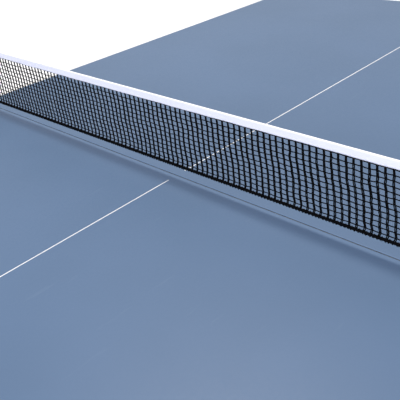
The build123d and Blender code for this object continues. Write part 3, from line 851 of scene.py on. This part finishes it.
finish_of_slot = {
    "frame_paint": baked_powder("baked_dark_grey_powder", "2A2D31", "212428", 0.42),
    "post_paint": baked_powder("baked_black_powder", "1A1B1E", "141518", 0.38),
    "bolt_steel": zinc_plate("zinc_plated_steel", "C9CCD0", "AEB3BA", (1, 1, 1)),
    "fork_steel": zinc_plate("pressed_zinc_steel", "C2C5C9", "A9AEB6", (1, 1, 0.2)),
    "black_plastic": moulded("moulded_black_abs", "1C1D1F", "2E2F32", 0.46, 0.5, 0.04, 1.54),
    "foot_rubber": moulded("moulded_black_rubber", "1A1A1B", "343331", 0.72, 0.6, 0.05, 1.52),
    "wheel_rubber": moulded("grey_tyre_rubber", "3A3B3D", "55544F", 0.70, 0.6, 0.05, 1.52),
    "board_lacquer": board_lacquer,
    "net_twine": net_yarn,
    # The tape's slot takes the cotton with painted shade.
    "net_tape_cotton": cotton_tape_painted_shade,
    "net_bottom_cord": laid_cord,
}

# %% Dress the engineering nodes that stay
slot_of_node = {}
for part in frame["record"]["subparts"]:
    slot_of_node[part["node"]] = part["material_slot"]
for name, node in frame["nodes"].items():
    worn = finish_of_slot[slot_of_node[name]]
    node.data.materials.clear()
    node.data.materials.append(worn)
print(len(slot_of_node), "nodes dressed")

# %% [markdown]
# ## Caster wheels
#
# A caster wheel is two mouldings: a hard grey hub with ribs, and a softer tyre shrunk onto it. Both
# are turned shapes, so each is a profile spun round the axle. The hub's ribs are small blocks set
# round it. A spin leaves its seam open, so the doubles are merged and the normals put right after.

# %% Turned shapes
TURN_STEPS = 48
SCREW_STEPS = 20
MERGE_DISTANCE = 0.00001
CREASE_ANGLE = math.radians(35)


def turned(bm, profile, centre, axis=Y, steps=TURN_STEPS):
    """Spins a profile of (distance along the axis, radius) round an axis through a centre."""
    line = [
        bm.verts.new(centre + axis * along * MM + X * radius * MM) for along, radius in profile
    ]
    edges = [bm.edges.new(pair) for pair in zip(line, line[1:])]
    bmesh.ops.spin(
        bm, geom=line + edges, cent=centre, axis=axis, angle=math.tau, steps=steps, use_merge=True,
        use_duplicate=False,
    )


def tidy(bm):
    """Merges doubles, points the faces outwards and shades curved faces smooth."""
    bmesh.ops.remove_doubles(bm, verts=bm.verts, dist=MERGE_DISTANCE)
    bmesh.ops.recalc_face_normals(bm, faces=bm.faces)
    for face in bm.faces:
        face.smooth = True
    for edge in bm.edges:
        if len(edge.link_faces) == 2 and edge.calc_face_angle(0) > CREASE_ANGLE:
            edge.smooth = False


# %% Tyres and hubs
hub_polymer = moulded("moulded_grey_polypropylene", "8A8D91", "777A7E", 0.45, 0.6, 0.04, 1.49)
TYRE_PROFILE = (
    (-9, 38), (-12.5, 38.5), (-14.2, 40), (-15, 42.5), (-15, 45.2), (-14, 47.6),
    (-12, 49.2), (-9.5, 49.9), (-3.2, 50), (-2.6, 49.2), (-1.2, 49.2), (0, 50),
    (1.2, 49.2), (2.6, 49.2), (3.2, 50), (9.5, 49.9), (12, 49.2), (14, 47.6),
    (15, 45.2), (15, 42.5), (14.2, 40), (12.5, 38.5), (9, 38), (-9, 38),
)
HUB_PROFILE = (
    (-18.8, 4.4), (-18.8, 10.5), (-18, 11.6), (-9.5, 12.2), (-6.5, 13.6), (-6.5, 31),
    (-8, 32.6), (-12.6, 33.4), (-13.2, 34.4), (-13.2, 37.4), (-12.4, 38), (12.4, 38),
    (13.2, 37.4), (13.2, 34.4), (12.6, 33.4), (8, 32.6), (6.5, 31), (6.5, 13.6),
    (9.5, 12.2), (18, 11.6), (18.8, 10.5), (18.8, 4.4), (-18.8, 4.4),
)
HUB_RIBS = 8
RIB_SIZE = Vector((21.0, 5.0, 2.6))
RIB_ROUND = 0.5
RIB_MIDDLE = 22.5
RIB_SIDE = 8.0


def hub_rib(bm, centre, angle, side):
    """One rib between hub and rim, its outer edges rounded."""
    made = bmesh.ops.create_cube(bm, size=1.0)["verts"]
    bmesh.ops.scale(bm, vec=RIB_SIZE * MM, verts=made)
    bevel_edges(bm, bm.edges[:], RIB_ROUND * MM, 2)
    made = bm.verts[:]
    bmesh.ops.translate(bm, vec=Vector((RIB_MIDDLE, side * RIB_SIDE, 0)) * MM, verts=made)
    bmesh.ops.rotate(bm, cent=(0, 0, 0), matrix=Matrix.Rotation(angle, 3, "Y"), verts=made)
    bmesh.ops.translate(bm, vec=centre, verts=made)


def build_wheel(corner):
    """A turned tyre and a turned hub with ribs on both sides of its web."""
    low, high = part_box(f"caster_wheel_{corner}")
    centre = (low + high) / 2
    tyre, hub = bmesh.new(), bmesh.new()
    turned(tyre, TYRE_PROFILE, centre)
    tidy(tyre)
    turned(hub, HUB_PROFILE, centre)
    tidy(hub)
    ribs = bpy.data.meshes.new("ribs")
    for number in range(HUB_RIBS):
        for side in (-1, 1):
            one = bmesh.new()
            hub_rib(one, centre, math.tau * number / HUB_RIBS, side)
            one.to_mesh(ribs)
            one.free()
            hub.from_mesh(ribs)
    bpy.data.meshes.remove(ribs)
    body = f"wheel_{corner}"
    piece(
        f"tyre_{corner}", tyre, body, [finish_of_slot["wheel_rubber"]],
        [f"caster_wheel_{corner}"],
    )
    piece(f"hub_{corner}", hub, body, [hub_polymer])


CORNERS = ("a_left", "a_right", "b_left", "b_right")
for corner in CORNERS:
    build_wheel(corner)

# %% [markdown]
# ## Levelling feet
#
# Under each end leg, a rubber-soled disc turns on a zinc-plated screw with a lock nut. The disc and
# the screw are turned shapes. The thread is drawn as rings, not as a helix: at 1.5 mm apart nobody
# can tell, and rings close on themselves, so the screw stays a clean solid.

# %% Levelling feet
THREAD_PITCH = 1.5
DISC_PROFILE = (
    (0, 0), (0, 20.5), (0.7, 22.2), (2.2, 23), (7.2, 23), (8.6, 22.6), (9.4, 21),
    (10.2, 15), (12.4, 9.5), (13.2, 8.2), (13.2, 0),
)
SCREW_FOOT = 12.5
NUT_PLACE = 24.0
NUT_HALF_HEIGHT = 2.4
NUT_RADIUS = 8.6


def screw_profile(start, stop):
    """A threaded rod from start to stop, in millimetres above the floor."""
    profile, height = [(start, 0), (start, 4.3)], start
    while height + THREAD_PITCH < stop:
        profile += [(height + 0.35, 5.0), (height + 0.75, 5.0), (height + 1.1, 4.3)]
        height += THREAD_PITCH
    return profile + [(stop, 4.3), (stop, 0)]


def build_foot(corner):
    """A rubber-soled disc, its screw, and the lock nut on the screw."""
    low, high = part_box(f"levelling_foot_{corner}")
    centre = Vector(((low.x + high.x) / 2, (low.y + high.y) / 2, low.z))
    disc, screw = bmesh.new(), bmesh.new()
    turned(disc, DISC_PROFILE, centre, Z)
    tidy(disc)
    turned(screw, screw_profile(SCREW_FOOT, high.z / MM), centre, Z, SCREW_STEPS)
    tidy(screw)
    nut = bmesh.new()
    bmesh.ops.create_cone(
        nut, cap_ends=True, segments=6, radius1=NUT_RADIUS * MM, radius2=NUT_RADIUS * MM,
        depth=2 * NUT_HALF_HEIGHT * MM,
    )
    bevel_edges(nut, nut.edges[:], 0.5 * MM, 2)
    bmesh.ops.translate(nut, vec=centre + Z * NUT_PLACE * MM, verts=nut.verts)
    whole = bpy.data.meshes.new("nut")
    nut.to_mesh(whole)
    nut.free()
    screw.from_mesh(whole)
    bpy.data.meshes.remove(whole)
    body = f"foot_{corner}"
    piece(
        f"foot_disc_{corner}", disc, body, [finish_of_slot["foot_rubber"]],
        [f"levelling_foot_{corner}"],
    )
    piece(f"foot_screw_{corner}", screw, body, [finish_of_slot["bolt_steel"]])


for corner in CORNERS:
    build_foot(corner)

# %% [markdown]
# ## Plastic plugs
#
# Sawn tube ends are closed with black moulded plugs: a thin flange outside, slightly smaller than
# the tube, with rounded rims. They take the hardness out of a frame made only of plain boxes.

# %% Tube plugs
PLUG_OUT = 2.5 * MM
PLUG_ROUND = 1.2 * MM
PLUG_INSET = Vector((0, 0.5, 0.5)) * MM


def plug(name, low, high, body):
    """A flange with rounded rims between two corners."""
    bm = bmesh.new()
    box_between(bm, low, high)
    bevel_edges(bm, bm.edges[:], PLUG_ROUND, 3)
    for face in bm.faces:
        face.smooth = len(face.verts) == 4 and face.calc_area() < 1e-4
    return piece(name, bm, body, [finish_of_slot["black_plastic"]])


for side in ("left", "right"):
    low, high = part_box(f"side_beam_{side}")
    for half, x in (("a", low.x), ("b", high.x)):
        near, far = sorted((x, x - PLUG_OUT if half == "a" else x + PLUG_OUT))
        first = Vector((near, low.y, low.z)) + PLUG_INSET
        last = Vector((far, high.y, high.z)) - PLUG_INSET
        plug(f"beam_plug_{half}_{side}", first, last, "chassis")

# %% [markdown]
# ## Floor
#
# A plain pale studio floor that glows a little, as a light table does. That keeps a white
# background white out to the horizon without burning out the table. It is scenery.

# %% Floor
def build_floor():
    bm = bmesh.new()
    bmesh.ops.create_grid(bm, x_segments=1, y_segments=1, size=FLOOR_HALF)
    mesh = bpy.data.meshes.new("studio_floor")
    bm.to_mesh(mesh)
    bm.free()
    material, tree, shader, where = finish(
        "pale_studio_floor", IOR=1.45, Specular_IOR_Level=0.2, Emission_Strength=FLOOR_GLOW,
        Emission_Color=linear("FFFFFF"),
    )
    drift = ramp(tree, grain(tree, where, 400, 3), 0.35, 0.65)
    tree.links.new(blend_colours(tree, drift, "F2F3F4", "EEEFF1"), shader.inputs["Base Color"])
    gloss = ramp(tree, grain(tree, where, 6, 2), 0.3, 0.7, 0.65, 0.75)
    tree.links.new(gloss, shader.inputs["Roughness"])
    mesh.materials.append(material)
    floor = bpy.data.objects.new("studio_floor", mesh)
    bpy.context.scene.collection.objects.link(floor)


build_floor()
